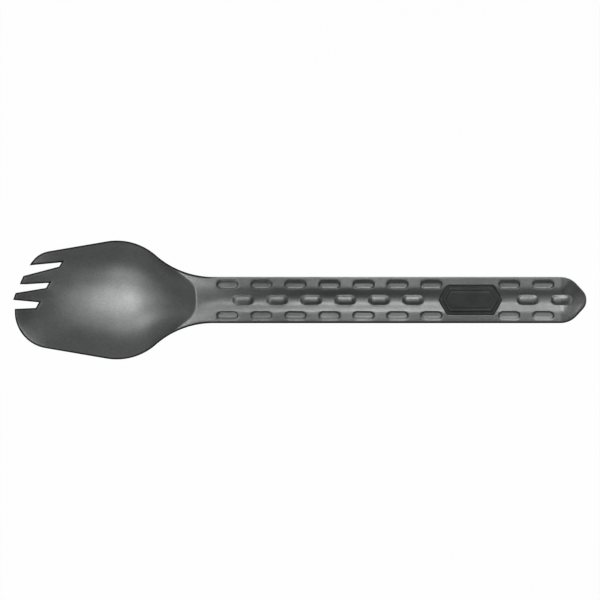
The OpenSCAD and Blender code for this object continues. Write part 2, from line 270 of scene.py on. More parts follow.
# Grip marks and badge pocket
WALL_OUT = 0.12
INNER_WALL = 0.3
END_WALL = 0.45
OUTER_WALL = 1.4
# Strength of the painted shade on the dash walls
WALL_PAINTED_SHADE = 0.7
ROLL_W = 0.35
ROLL_DEPTH = 0.04
PAD_CROWN = 0.55
PAD_EDGE = 0.36
PAD_REACH = 1.5
BACK_INSET = 0.3
BACK_WALL = 0.9
BACK_START = 0.2
DASH_BACK_H = 0.4
PAD_BACK_DEPTH = 0.5
POCKET_WALL = 0.12
BEND_W = 1.8
BEND_DEPTH = 0.12
BEND_LEAD = 6.0
NECK_LEN = 8.0
EDGE_THIN = 0.82
EDGE_THIN_W = 4.0
TIP_THIN = 0.75
TIP_THIN_LEN = 14.0
SLOPE_STEP = 0.05
BADGE_RISE = (flange_z(BADGE_X + SLOPE_STEP) - flange_z(BADGE_X - SLOPE_STEP)) / (2 * SLOPE_STEP)
BADGE_TURN = math.atan(BADGE_RISE)
FILM_Z = -BADGE_SUNK - BADGE_BASE_T - FIELD_T - FILM_T
POINT_ANGLE = math.atan2(BADGE_W / 2, (BADGE_LEN - BADGE_FLAT) / 2)
CORNER_R = 1.6


def nearest_offset(x, places):
    """Distance from x to the nearest of the places along the handle."""
    offsets = x[..., None] - places
    nearest = np.abs(offsets).argmin(axis=-1)
    return np.take_along_axis(offsets, nearest[..., None], axis=-1)[..., 0]


def stadium_gap(along, across, length, width):
    """Signed distance to the edge of a straight slot with round ends, below zero inside."""
    past_core = np.maximum(np.abs(along) - (length - width) / 2, 0.0)
    return np.hypot(past_core, across) - width / 2


def dash_press(x, y):
    """Depth to which a dash is pressed, and how steep its wall is there from 0 to 1, save on the outer
    ramp; that share is painted as shade.

    Walls follow the outline, steep on the inner side, less so at the ends, with a long ramp on the
    outer side. A shallow roll runs round the outline, outside the walls."""
    along = nearest_offset(x, DASH_X)
    across = np.abs(y) - DASH_ROW_Y
    past_core = np.maximum(np.abs(along) - (DASH_LEN - DASH_W) / 2, 0.0)
    facing = across / np.maximum(np.hypot(past_core, across), FACING_LEAST)
    run = END_WALL + (OUTER_WALL - END_WALL) * ease(facing) - (END_WALL - INNER_WALL) * ease(-facing)
    gap = stadium_gap(along, across, DASH_LEN, DASH_W)
    press = ease((WALL_OUT - gap) / run)
    depth = ROLL_DEPTH * ease((ROLL_W - gap) / ROLL_W) + (DASH_DEPTH - ROLL_DEPTH) * press
    return depth, 4 * press * (1 - press) * (1 - ease(facing))


def hexagon_gap(x, y):
    """Signed distance to the edge of the badge, a hexagon with its points along X and round corners."""
    across = np.abs(y) - (BADGE_W / 2 - CORNER_R)
    half_len = BADGE_LEN / 2 - CORNER_R / math.sin(POINT_ANGLE)
    slant = (np.abs(x - BADGE_X) - half_len) * math.sin(POINT_ANGLE) + np.abs(y) * math.cos(POINT_ANGLE)
    between = -math.cos(POINT_ANGLE)
    outside = np.maximum(across, slant)
    spread = np.sqrt(np.maximum(0.0, across ** 2 + slant ** 2 + 2 * between * across * slant))
    in_corner = (across + between * slant > 0) & (slant + between * across > 0)
    return np.where(in_corner, spread / math.sin(POINT_ANGLE), outside) - CORNER_R


def grip_z(x, y, base):
    """Upper face with dashes pressed in, pads raised on the trough's floor, and the badge pocket.

    A pad is a low ridge with a rounded top."""
    out = base - dash_press(x, y)[0]
    gap = stadium_gap(nearest_offset(x, PAD_X), y, PAD_LEN, PAD_W)
    off_ridge = np.clip(1 + 2 * gap / PAD_W, 0.0, PAD_REACH)
    crown = flange_z(x) + trough_z(x, 0 * y) + PAD_H - PAD_CROWN * off_ridge ** 2
    out = out + (crown - out) * ease((PAD_EDGE / 2 - gap) / PAD_EDGE)
    floor = flange_z(BADGE_X) + FILM_Z / math.cos(BADGE_TURN) + BADGE_RISE * (x - BADGE_X)
    pocket = ease(0.5 - (hexagon_gap(x, y) - BADGE_CLEAR) / POCKET_WALL)
    return out + (floor - out) * pocket


def upper_z(x, y):
    """Finished upper face of the sheet, just inside the solid's, which bends down a little along the
    handle's lower edge."""
    bend = np.clip((BEND_W - plan_half(x) - y) / BEND_W, 0.0, 1.0) ** 2
    start = ease((x - BACK_X + BEND_LEAD) / NECK_LEN)
    return grip_z(x, y, sheet_z(x, y)) - BEND_DEPTH * bend * start - EDGE_CLEAR


def lower_z(x, y):
    """Lower face: the plain upper face moved down by the thickness, square to the surface,
    with a bump behind each dash and a hollow behind each pad. Edges and tines are a little thinner."""
    slope_x = (sheet_z(x + SLOPE_STEP, y) - sheet_z(x - SLOPE_STEP, y)) / (2 * SLOPE_STEP)
    slope_y = (sheet_z(x, y + SLOPE_STEP) - sheet_z(x, y - SLOPE_STEP)) / (2 * SLOPE_STEP)
    edge_share = EDGE_THIN + (1 - EDGE_THIN) * ease((plan_half(x) - np.abs(y)) / EDGE_THIN_W)
    tip_share = TIP_THIN + (1 - TIP_THIN) * ease((x - FRONT_X) / TIP_THIN_LEN)
    thickness = SHEET_T * edge_share * tip_share
    out = sheet_z(x, y) - thickness * np.sqrt(1 + slope_x ** 2 + slope_y ** 2)
    across = np.abs(y) - DASH_ROW_Y
    gap = stadium_gap(nearest_offset(x, DASH_X), across, DASH_LEN, DASH_W) + BACK_INSET
    out = out - DASH_BACK_H * ease(BACK_START - gap / BACK_WALL)
    gap = stadium_gap(nearest_offset(x, PAD_X), y, PAD_LEN, PAD_W) + BACK_INSET
    return out + PAD_BACK_DEPTH * ease(BACK_START - gap / BACK_WALL)


# Front outline of the tines, drawn in by the radius of the sheet's rounded edge
EDGE_R = 0.8
BOWL_ROLL = 0.55
HANDLE_ROLL = 0.1


def corner_centre(back, radius):
    """Centre of the arc that rounds the flared side into a tine."""
    x = FRONT_X + back
    return np.array((x + radius * math.sin(SIDE_TAPER), side_half(x) - radius * math.cos(SIDE_TAPER)))


FIRST_CENTRE = corner_centre(FIRST_CORNER_BACK, FIRST_CORNER_R)
LAST_CENTRE = corner_centre(LAST_CORNER_BACK, LAST_CORNER_R) * (1, -1)
FIRST_TIP_X = FRONT_X + FIRST_TIP_BACK
FIRST_TIP_Y = FIRST_CENTRE[1] + arc_half(FIRST_CORNER_R, FIRST_TIP_X - FIRST_CENTRE[0])
FIRST_TIP = np.array((FIRST_TIP_X, FIRST_TIP_Y))
FOREMOST_TIP = np.array((FRONT_X, FOREMOST_Y))
TIP_CHORD = FIRST_TIP - FOREMOST_TIP
TIP_SQUARE = np.array((TIP_CHORD[1], -TIP_CHORD[0])) / np.hypot(*TIP_CHORD)
TIP_RISE = math.sqrt(TIP_LINE_R ** 2 - TIP_CHORD @ TIP_CHORD / 4)
TIP_CENTRE = (FIRST_TIP + FOREMOST_TIP) / 2 + TIP_SQUARE * TIP_RISE


def slot_side(k, side, inset=EDGE_R):
    """Point and direction of the line beside slot k, the inset away from it.

    The side is 1 for the upper one and -1 for the lower one, and the direction is to the tips."""
    turn = SLOT_ANGLE[k]
    lean = turn - side * SLOT_FLARE[k]
    along = -np.array((math.cos(lean), math.sin(lean)))
    square = side * np.array((-math.sin(lean), math.cos(lean)))
    root = np.array((FRONT_X + SLOT_BACK[k], SLOT_Y[k]))
    corner = root + side * SLOT_ROOT_W[k] / 2 * np.array((-math.sin(turn), math.cos(turn)))
    return corner + inset * square, along


def root_line(k):
    """Where the slanted line behind slot k's root crosses the middle of the sheet."""
    back = EDGE_R * math.hypot(1.0, ROOT_SLANT)
    return FRONT_X + SLOT_BACK[k] - ROOT_SLANT * SLOT_Y[k] + back


def meet_root(k, side):
    """Corner where a slot's side meets the line behind its root."""
    point, along = slot_side(k, side)
    reach = (root_line(k) - point[0] + ROOT_SLANT * point[1]) / (along[0] - ROOT_SLANT * along[1])
    return point + reach * along


def meet_tips(k, side, inset=EDGE_R):
    """Corner where a slot's side meets the arc along the tine tips, both drawn in by the inset."""
    point, along = slot_side(k, side, inset)
    offset = point - TIP_CENTRE
    middle = offset @ along
    reach = -middle + math.sqrt(middle ** 2 - offset @ offset + (TIP_LINE_R - inset) ** 2)
    return point + reach * along


def arc_path(centre, radius, start, stop, count):
    """Points along a circle's arc."""
    angle = np.linspace(start, stop, count)
    return centre + radius * np.stack((np.cos(angle), np.sin(angle)), axis=-1)


def path_at(places, marks, path):
    """Points of a path at places along it, on straight lines between its marked points."""
    return np.stack((np.interp(places, marks, path[:, 0]), np.interp(places, marks, path[:, 1])), axis=-1)


def share_out(path, count):
    """A path's points set at equal distances along it."""
    steps = np.hypot(*np.diff(path, axis=0).T)
    length = np.concatenate(([0.0], np.cumsum(steps)))
    places = np.linspace(0.0, length[-1], count)
    return path_at(places, length, path)


# Rows and columns of the sheet's grid, with columns counted from the last tine to the first tine
FIRST_SLOT = 0
LAST_SLOT = len(SLOT_Y) - 1
LAST_TINE = 0
FIRST_TINE = len(SLOT_Y)
TINE_COLUMNS = (15, 8, 9, 13)
SLOT_COLUMNS = 3
TINE_ROWS = (11, 14, 14, 15)
FRONT_ROWS = 52
BOWL_ROWS = 34
CREASE_ROWS = 56
HANDLE_STEP = 0.26
TIP_ROWS = 34
MEET_X = -66.0
CREASE_X = -50.0
GRIP_X = -36.0
TIP_X = 96.0
BLEND_ROWS = 14
ARC_POINTS = 200
FIRST_TIP_W = 0.3
SIDE_CLEAR = 0.02
BADGE_END_ROWS = np.array((-0.1, 0.04, 0.19, 0.33))
BADGE_LEAD = 1.6
BADGE_FADE = 1.4
POINT_REACH = 7.0
HANDLE_KNOTS = (0.0, 1.45, 2.15, 3.85, 4.35, 5.8, 7.15, HALF_HANDLE - EDGE_R)
BADGE_KNOTS = (0.0, 1.5, 2.6, 5.1, 5.7, 6.3, 7.0, HALF_HANDLE - EDGE_R)
KNOT_COLUMNS = (4, 5, 4, 5, 3, 4, 2)


def knot_places(knots):
    """Column places across the whole handle, from its lower edge to its upper edge."""
    counted = np.concatenate(([0], np.cumsum(KNOT_COLUMNS)))
    half = np.interp(np.arange(counted[-1] + 1), counted, knots)
    return np.concatenate((-half[:0:-1], half))


def root_corners():
    """Corners along the line behind the slots, from the last tine's side to the first tine's side."""
    turn = 3 * math.pi / 2 - SIDE_TAPER
    side_arc = arc_path(LAST_CENTRE, LAST_CORNER_R - EDGE_R, turn, math.pi, ARC_POINTS)
    past = side_arc[:, 0] - ROOT_SLANT * side_arc[:, 1] - root_line(LAST_SLOT)
    low = path_at(0.0, -past, side_arc)
    rise = math.tan(SIDE_TAPER)
    high_y = side_half(root_line(FIRST_SLOT), EDGE_R) / (1 - ROOT_SLANT * rise)
    high = np.array((root_line(FIRST_SLOT) + ROOT_SLANT * high_y, high_y))
    between = [meet_root(k, side) for k in reversed(range(len(SLOT_Y))) for side in (-1, 1)]
    return np.array([low, *between, high])


def root_row():
    """Points along the line behind the slots, shared out between the tines and slots."""
    corners = root_corners()
    counts = np.full(len(TINE_COLUMNS) + len(SLOT_Y), SLOT_COLUMNS)
    counts[::2] = TINE_COLUMNS
    counted = np.concatenate(([0], np.cumsum(counts)))
    columns = np.arange(counted[-1] + 1)
    return path_at(columns, counted, corners), counted


def low_side_y(x):
    """Lower edge of the sheet, drawn in: the last tine's corner arc, then the plan's half width."""
    radius = LAST_CORNER_R - EDGE_R
    on_arc = x < LAST_CENTRE[0] - radius * math.sin(SIDE_TAPER)
    return np.where(on_arc, LAST_CENTRE[1] - arc_half(radius, x - LAST_CENTRE[0]), -plan_half(x, EDGE_R))


def sheet_grid(row):
    """Plan of the sheet from the slots' roots to the handle's nose, as a grid of rows and columns.

    Each row is a line from the lower edge to the upper edge. Rows start slanted like the roots and
    straighten in the bowl. Columns crowd at the edges of the grip marks, and both bend round the badge."""
    low_x = np.linspace(row[0, 0], MEET_X, FRONT_ROWS)
    high_x = np.linspace(row[-1, 0], MEET_X, FRONT_ROWS)
    nose_x = END_X - EDGE_R - SIDE_CLEAR
    tip = TIP_X + (nose_x - TIP_X) * np.sin(np.linspace(0.0, math.pi / 2, TIP_ROWS))
    badge_ends = BADGE_X + np.outer((-1, 1), BADGE_FLAT / 2 + BADGE_END_ROWS)
    straight = np.concatenate((
        np.linspace(MEET_X, CREASE_X, BOWL_ROWS)[1:],
        np.linspace(CREASE_X, GRIP_X, CREASE_ROWS)[1:],
        np.arange(GRIP_X + HANDLE_STEP, TIP_X - HANDLE_STEP / 2, HANDLE_STEP),
        badge_ends.ravel(), tip))
    straight.sort()
    low_x = np.concatenate((low_x, straight))[:, None]
    high_x = np.concatenate((high_x, straight))[:, None]
    low_y = low_side_y(low_x)
    high_y = plan_half(high_x, EDGE_R)
    chord = row[-1] - row[0]
    root_share = (row - row[0]) @ chord / (chord @ chord)
    reach = HALF_HANDLE - EDGE_R
    handle_share = (knot_places(HANDLE_KNOTS) / reach + 1) / 2
    badge_share = (knot_places(BADGE_KNOTS) / reach + 1) / 2
    near_badge = ease((BADGE_FLAT / 2 + BADGE_LEAD - np.abs(low_x - BADGE_X)) / BADGE_FADE)
    settled = ease((low_x - row[0, 0]) / (GRIP_X - row[0, 0]))
    share = handle_share + (badge_share - handle_share) * near_badge
    share = root_share + (share - root_share) * settled
    x = low_x + (high_x - low_x) * share
    y = low_y + (high_y - low_y) * share
    bend = row - (row[0] + chord * root_share[:, None])
    fade = 1 - ease(np.arange(len(low_x)) / BLEND_ROWS)[:, None]
    x = x + bend[:, 0] * fade
    y = y + bend[:, 1] * fade
    point = (BADGE_LEN - BADGE_FLAT) / 2
    from_end = np.abs(x - BADGE_X) - BADGE_FLAT / 2
    along = np.clip(1 - np.abs(from_end) / POINT_REACH, 0.0, 1.0)
    across = np.clip(1 - np.abs(y) / (BADGE_W / 2), 0.0, 1.0)
    return x + np.sign(x - BADGE_X) * point * along * across, y


def first_tine_sides(root_low, root_high):
    """Lower and upper side of the first tine: a slot's side, and the flared side with its corner arc."""
    point, along = slot_side(FIRST_SLOT, 1)
    square = np.array((along[1], -along[0]))
    radius = FIRST_CORNER_R - EDGE_R
    arc = arc_path(FIRST_CENTRE, radius, math.pi / 2 + SIDE_TAPER, math.pi, ARC_POINTS)
    clear = (arc - point) @ square
    last = np.argmax(clear < FIRST_TIP_W)
    upper = np.concatenate((root_high[None], arc[:last]))
    tip = upper[-1]
    lower = np.stack((root_low, tip - ((tip - point) @ square - SIDE_CLEAR) * square))
    return lower, upper


def last_tine_sides(root_low, root_high):
    """Lower and upper side of the last tine: its corner arc, and a slot's side."""
    start = math.atan2(root_low[1] - LAST_CENTRE[1], root_low[0] - LAST_CENTRE[0]) % (2 * math.pi)
    lower = arc_path(LAST_CENTRE, LAST_CORNER_R - EDGE_R, start, math.pi, ARC_POINTS)
    point, along = slot_side(LAST_SLOT, -1)
    reach = (lower[-1, 0] - point[0]) / along[0]
    return lower, np.stack((root_high, point + reach * along))


def tine_grid(tine, row):
    """Plan of one tine: straight lines between its two sides, from its root to its tip."""
    if tine == LAST_TINE:
        lower, upper = last_tine_sides(row[0], row[-1])
    elif tine == FIRST_TINE:
        lower, upper = first_tine_sides(row[0], row[-1])
    else:
        lower = np.stack((row[0], meet_tips(FIRST_TINE - tine, 1)))
        upper = np.stack((row[-1], meet_tips(FIRST_TINE - tine - 1, -1)))
    lower = share_out(lower, TINE_ROWS[tine])[:, None]
    upper = share_out(upper, TINE_ROWS[tine])[:, None]
    share = np.linspace(0.0, 1.0, len(row))[:, None]
    grid = lower + (upper - lower) * share
    return grid[1:, :, 0], grid[1:, :, 1]


def quads(index, flip):
    """Four-cornered faces between the neighbours of an index grid."""
    corners = (index[:-1, :-1], index[1:, :-1], index[1:, 1:], index[:-1, 1:])
    faces = np.stack(corners, axis=-1).reshape(-1, len(corners))
    return faces[:, ::-1] if flip else faces


# Rounded edge that runs all round the sheet's outline
EDGE_ANGLES = np.radians((18.0, 36.0, 54.0, 72.0, 90.0))
# Painted shade on each ring of the rounded edge, less on the first
EDGE_SHADE_SHARE = np.array((0.5, 1.0, 1.0, 1.0, 1.0))
MITRE_LEAST = 0.62


def outward(loop):
    """Direction out of a closed outline at each point, longer at a corner to keep the edge's width."""
    before = loop - np.roll(loop, 1, axis=0)
    before = before / np.maximum(np.hypot(*before.T), STEP_LEAST)[:, None]
    after = np.roll(before, -1, axis=0)
    middle = before + after
    middle = middle / np.hypot(*middle.T)[:, None]
    square = np.stack((middle[:, 1], -middle[:, 0]), axis=-1)
    spread = np.sum(middle * before, axis=1)
    return square / np.maximum(spread, MITRE_LEAST)[:, None]


def sheet_outline(index, counted, tines):
    """Order of the points along the sheet's outline, anticlockwise from the last tine's root."""
    parts = [index[:, 0], index[-1, 1:], index[-2:0:-1, -1]]
    for tine in reversed(range(len(tines))):
        grid = tines[tine]
        parts += [grid[:, -1], grid[-1, -2::-1], grid[-2::-1, 0]]
        if tine > LAST_TINE:
            parts.append(index[0, counted[2 * tine] - 1:counted[2 * tine - 1]:-1])
    return np.concatenate(parts)[:-1]


def sheet_plan():
    """Plan of the whole sheet: one long grid with a small grid for each tine.

    Its points and faces come with the order of the outline's points and the first tine's tip among them."""
    row, counted = root_row()
    x, y = sheet_grid(row)
    index = np.arange(x.size).reshape(x.shape)
    plan = [np.stack((x.ravel(), y.ravel()), axis=-1)]
    faces = [quads(index, False)]
    tines = []
    for tine in range(len(TINE_COLUMNS)):
        span = slice(counted[2 * tine], counted[2 * tine + 1] + 1)
        tine_x, tine_y = tine_grid(tine, row[span])
        added = sum(map(len, plan)) + np.arange(tine_x.size).reshape(tine_x.shape)
        grid = np.concatenate((index[:1, span], added))
        plan.append(np.stack((tine_x.ravel(), tine_y.ravel()), axis=-1))
        faces.append(quads(grid, True))
        tines.append(grid)
    loop = sheet_outline(index, counted, tines)
    return np.concatenate(plan), np.concatenate(faces), loop, np.isin(loop, tines[FIRST_TINE][-1])


def edge_rings(outline, tip):
    """Rings of the rounded edge in plan: the outline moved out by the sine of each of the edge's angles.

    At the first tine's tip they reach out to the corners of the tip."""
    out = outward(outline)
    tip_edge = np.linspace(FIRST_TIP, meet_tips(FIRST_SLOT, 1, 0.0), TINE_COLUMNS[FIRST_TINE] + 1)
    out[tip] = (tip_edge - outline[tip]) / EDGE_R
    rings = outline + (EDGE_R - EDGE_CLEAR) * np.sin(EDGE_ANGLES)[:, None, None] * out
    rings[..., 0] = np.maximum(rings[..., 0], FRONT_X + EDGE_CLEAR)
    return rings


def sheet_shell():
    """Points and faces of the whole pressed sheet, in millimetres, and how much painted shade each point
    takes.

    Upper and lower face are heights over the plan, and a half-round profile carried along the outline
    joins them."""
    plan, faces, loop, tip = sheet_plan()
    count = len(plan)
    rings = edge_rings(plan[loop], tip)
    on_handle = ease((rings[..., 0] - BACK_X) / NECK_LEN)
    roll = (BOWL_ROLL + (HANDLE_ROLL - BOWL_ROLL) * on_handle) * (1 - np.cos(EDGE_ANGLES))[:, None]
    edge_top = upper_z(rings[..., 0], rings[..., 1]) - roll
    edge_low = lower_z(rings[..., 0], rings[..., 1]) + roll
    points = np.concatenate((
        np.column_stack((plan, upper_z(plan[:, 0], plan[:, 1]))),
        np.column_stack((plan, lower_z(plan[:, 0], plan[:, 1]))),
        np.concatenate((rings, edge_top[..., None]), axis=-1).reshape(-1, 3),
        np.concatenate((rings, edge_low[..., None]), axis=-1)[::-1].reshape(-1, 3)))
    ring_index = 2 * count + np.arange(2 * rings.shape[0] * len(loop)).reshape(-1, len(loop))
    ring_index = np.concatenate((loop[None], ring_index, loop[None] + count))
    ring_index = np.concatenate((ring_index, ring_index[:, :1]), axis=1)
    # Painted shade: a dark rim all round the bowl and tines, kept only on the lower edge along the handle,
    # and dark dash walls except their outer ramps
    unshaded_edge = on_handle * ease(rings[..., 1] / HALF_HANDLE + 0.5)
    edge_shade = EDGE_SHADE_SHARE[:, None] * (1 - unshaded_edge)
    walls = WALL_PAINTED_SHADE * dash_press(plan[:, 0], plan[:, 1])[1]
    painted_shade = np.concatenate((walls, np.zeros(count), edge_shade.ravel(), edge_shade[::-1].ravel()))
    return points, np.concatenate((faces, faces[:, ::-1] + count, quads(ring_index, False))), painted_shade


def add_piece(name, points, faces, material, slot, node):
    """Make a smooth mesh piece from points in millimetres, in the place of a CAD node."""
    mesh = bpy.data.meshes.new(name)
    mesh.from_pydata((points * MM).tolist(), [], faces)
    mesh.polygons.foreach_set("use_smooth", np.ones(len(mesh.polygons), dtype=bool))
    mesh.materials.append(material)
    mesh.update()
    piece = bpy.data.objects.new(name, mesh)
    bpy.context.scene.collection.objects.link(piece)
    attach(piece, "root")
    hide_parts(node)
    return piece


# Badge profile: distance in from the outline, and height over the bonding film
BADGE_TOP = BADGE_BASE_T + FIELD_T
BADGE_PROFILE = np.array((
    (0.10, 0.00), (0.00, 0.06), (0.00, 0.40), (0.05, 0.50), (0.16, BADGE_BASE_T), (0.30, BADGE_BASE_T),
    (0.80, 0.53), (1.00, 0.53), (1.10, 0.58), (1.22, 0.74), (1.32, 0.79), (1.48, BADGE_TOP),
    (1.95, BADGE_TOP), (2.03, 0.77), (2.10, 0.73), (2.22, 0.73), (2.29, 0.77), (2.37, BADGE_TOP),
    (3.00, BADGE_TOP), (4.20, BADGE_TOP), (5.20, BADGE_TOP)))
POINT_R = 0.3
BADGE_CORNER_R = np.array((POINT_R, CORNER_R, CORNER_R, POINT_R, CORNER_R, CORNER_R))
BADGE_R_LEAST = 0.02
BADGE_CORNER_POINTS = 8


def badge_shell():
    """Points and faces of the badge: its profile carried round a hexagon with rounded corners."""
    inset = BADGE_PROFILE[:, 0][:, None]
    radius = np.maximum(BADGE_CORNER_R - inset, BADGE_R_LEAST)
    half_w = BADGE_W / 2 - inset - radius
    half_len = BADGE_LEN / 2 - (inset + radius) / math.sin(POINT_ANGLE)
    half_flat = half_len - half_w / math.tan(POINT_ANGLE)
    side_x = np.array((1, 0, 0, -1, 0, 0)) * half_len + np.array((0, 1, -1, 0, -1, 1)) * half_flat
    side_y = np.array((0, 1, 1, 0, -1, -1)) * half_w
    quarter = math.pi / 2
    normals = np.array((POINT_ANGLE - quarter, quarter - POINT_ANGLE, quarter, quarter + POINT_ANGLE,
                        3 * quarter - POINT_ANGLE, 3 * quarter, 3 * quarter + POINT_ANGLE))
    turn = normals[:-1] + np.linspace(0, 1, BADGE_CORNER_POINTS)[:, None] * np.diff(normals)
    x = (side_x + radius * np.cos(turn)[:, None]).transpose(1, 2, 0).reshape(len(inset), -1)
    y = (side_y + radius * np.sin(turn)[:, None]).transpose(1, 2, 0).reshape(len(inset), -1)
    z = BADGE_PROFILE[:, 1][:, None] + FILM_Z + FILM_T + 0 * x
    turned_x = BADGE_X + x * math.cos(BADGE_TURN) - z * math.sin(BADGE_TURN)
    turned_z = flange_z(BADGE_X) + x * math.sin(BADGE_TURN) + z * math.cos(BADGE_TURN)
    points = np.stack((turned_x, y, turned_z), axis=-1).reshape(-1, 3)
    index = np.arange(x.size).reshape(x.shape)
    closed = np.concatenate((index, index[:, :1]), axis=1)
    return points, [*quads(closed, True).tolist(), index[0, ::-1].tolist(), index[-1].tolist()]


# Materials
METAL_DARK = (0.207, 0.2125, 0.2105, 1.0)
METAL_PALE = (0.271, 0.2765, 0.2745, 1.0)
# Painted shade on the rim and dash walls: its colour, and how much rougher it is
PAINTED_SHADE_COLOUR = (0.015, 0.0155, 0.0155, 1.0)
PAINTED_SHADE_ROUGHER = 0.5
BADGE_DARK = (0.03, 0.0315, 0.031, 1.0)
BADGE_PALE = (0.048, 0.05, 0.049, 1.0)
FILM_DARK = (0.48, 0.47, 0.43, 1.0)
FILM_PALE = (0.6, 0.59, 0.55, 1.0)
FILM_ROUGH = 0.6
GRAIN_SCALE = 1500.0
FINER = 2.7
FINE_SHARE = 0.6
TEXTURE_DEPTH = 0.00001


def add_node(tree, kind, settings=None, **inputs):
    """Add a shader node. An input is a value, or an output socket to link.

    It is given by its name, or by its number after a low line where names repeat."""
    made = tree.nodes.new("ShaderNode" + kind)
    for name, value in (settings or {}).items():
        setattr(made, name, value)
    for name, value in inputs.items():
        socket = made.inputs[int(name[1:])] if name[1:].isdigit() else made.inputs[name.replace("_", " ")]
        if isinstance(value, bpy.types.NodeSocket):
            tree.links.new(value, socket)
        else:
            socket.default_value = value
    return made


def new_group(name, inputs, outputs):
    """Start a node group with number sockets, and return its tree and the sockets to read and to fill."""
    tree = bpy.data.node_groups.new(name, "ShaderNodeTree")
    for socket, default in inputs.items():
        made = tree.interface.new_socket(name=socket, in_out="INPUT", socket_type="NodeSocketFloat")
        made.default_value = default
    for socket in outputs:
        tree.interface.new_socket(name=socket, in_out="OUTPUT", socket_type="NodeSocketFloat")
    given = tree.nodes.new("NodeGroupInput")
    result = tree.nodes.new("NodeGroupOutput")
    return tree, given.outputs, result.inputs


def grain_group():
    """Fine blasted grain: two sizes of noise over the object, put out as a height."""
    tree, given, result = new_group("blasted_grain", {"Scale": GRAIN_SCALE}, ("Height",))
    place = add_node(tree, "TexCoord").outputs["Object"]
    finer = add_node(tree, "Math", {"operation": "MULTIPLY"}, _0=given["Scale"], _1=FINER)
    coarse = add_node(tree, "TexNoise", Vector=place, Scale=given["Scale"], Detail=2.0)
    fine = add_node(tree, "TexNoise", Vector=place, Scale=finer.outputs[0], Detail=1.0)
    both = add_node(tree, "Math", {"operation": "MULTIPLY_ADD"},
                    _0=fine.outputs[0], _1=FINE_SHARE, _2=coarse.outputs[0])
    tree.links.new(both.outputs[0], result["Height"])
    return tree


def patches_group():
    """Soft patches between a low and a high value, from noise over the object."""
    tree, given, result = new_group("soft_patches", {"Scale": 60.0, "Low": 0.0, "High": 1.0}, ("Value",))
    place = add_node(tree, "TexCoord").outputs["Object"]
    noise = add_node(tree, "TexNoise", Vector=place, Scale=given["Scale"], Detail=4.0, Roughness=0.6)
    spread = add_node(tree, "MapRange", {"interpolation_type": "SMOOTHSTEP"}, Value=noise.outputs[0],
                      From_Min=0.3, From_Max=0.7, To_Min=given["Low"], To_Max=given["High"])
    tree.links.new(spread.outputs[0], result["Value"])
    return tree


def hairline_group():
    """Fine straight lines along X, from noise that is stretched in that direction."""
    tree, given, result = new_group("hairlines", {"Scale": 5000.0, "Stretch": 0.03}, ("Height",))
    place = add_node(tree, "TexCoord").outputs["Object"]
    stretch = add_node(tree, "CombineXYZ", X=given["Stretch"], Y=1.0, Z=1.0)
    drawn = add_node(tree, "VectorMath", {"operation": "MULTIPLY"}, _0=place, _1=stretch.outputs[0])
    noise = add_node(tree, "TexNoise", Vector=drawn.outputs[0], Scale=given["Scale"], Detail=2.0)
    tree.links.new(noise.outputs[0], result["Height"])
    return tree


def use_group(tree, group, **inputs):
    """Add a node group to a material."""
    made = add_node(tree, "Group", {"node_tree": group})
    for name, value in inputs.items():
        made.inputs[name].default_value = value
    return made.outputs[0]


def new_material(name):
    """Start a material and return it with its tree and its Principled shader."""
    material = bpy.data.materials.new(name)
    material.use_nodes = True
    return material, material.node_tree, material.node_tree.nodes["Principled BSDF"]


def bump(tree, shader, height, depth):
    """Raise a shader's surface by a height, with its full depth in metres."""
    made = add_node(tree, "Bump", Strength=1.0, Distance=depth, Height=height)
    tree.links.new(made.outputs[0], shader.inputs["Normal"])


GRAIN = grain_group()
PATCHES = patches_group()
HAIRLINES = hairline_group()


def mixed_colour(tree, share, low, high):
    """Colour between two others by a share from 0 to 1."""
    made = add_node(tree, "Mix", {"data_type": "RGBA"}, _0=share, _6=low, _7=high)
    return made.outputs[2]


def metal_material():
    """Satin anodised metal: blasted grain, fine speckle, soft patches of handling, and painted shade on the
    rim and the dash walls.
    """
    material, tree, shader = new_material("anodised_metal")
    patch = use_group(tree, PATCHES, Scale=90.0, Low=0.0, High=0.4)
    speckle = use_group(tree, PATCHES, Scale=1400.0, Low=0.0, High=0.6)
    shade = add_node(tree, "Math", {"operation": "ADD"}, _0=patch, _1=speckle)
    # The painted shade makes the metal darker, less metallic and rougher
    painted_shade = add_node(tree, "Attribute", {"attribute_name": "painted_rim_and_wall_shade"}).outputs["Fac"]
    plain = mixed_colour(tree, shade.outputs[0], METAL_DARK, METAL_PALE)
    tree.links.new(mixed_colour(tree, painted_shade, plain, PAINTED_SHADE_COLOUR), shader.inputs["Base Color"])
    bare = add_node(tree, "Math", {"operation": "SUBTRACT"}, _0=1.0, _1=painted_shade)
    tree.links.new(bare.outputs[0], shader.inputs["Metallic"])
    shader.inputs["Specular IOR Level"].default_value = 0.0
    satin = use_group(tree, PATCHES, Scale=140.0, Low=0.34, High=0.39)
    rough = add_node(tree, "Math", {"operation": "MULTIPLY_ADD"}, _0=painted_shade, _1=PAINTED_SHADE_ROUGHER, _2=satin)
    tree.links.new(rough.outputs[0], shader.inputs["Roughness"])
    bump(tree, shader, use_group(tree, GRAIN), TEXTURE_DEPTH)
    return material


def badge_material():
    """Dark moulded badge with a fine drawn texture and dull patches."""
    material, tree, shader = new_material("badge")
    patch = use_group(tree, PATCHES, Scale=250.0, Low=0.0, High=1.0)
    colour = mixed_colour(tree, patch, BADGE_DARK, BADGE_PALE)
    tree.links.new(colour, shader.inputs["Base Color"])
    rough = use_group(tree, PATCHES, Scale=180.0, Low=0.38, High=0.5)
    tree.links.new(rough, shader.inputs["Roughness"])
    bump(tree, shader, use_group(tree, HAIRLINES), TEXTURE_DEPTH)
    return material


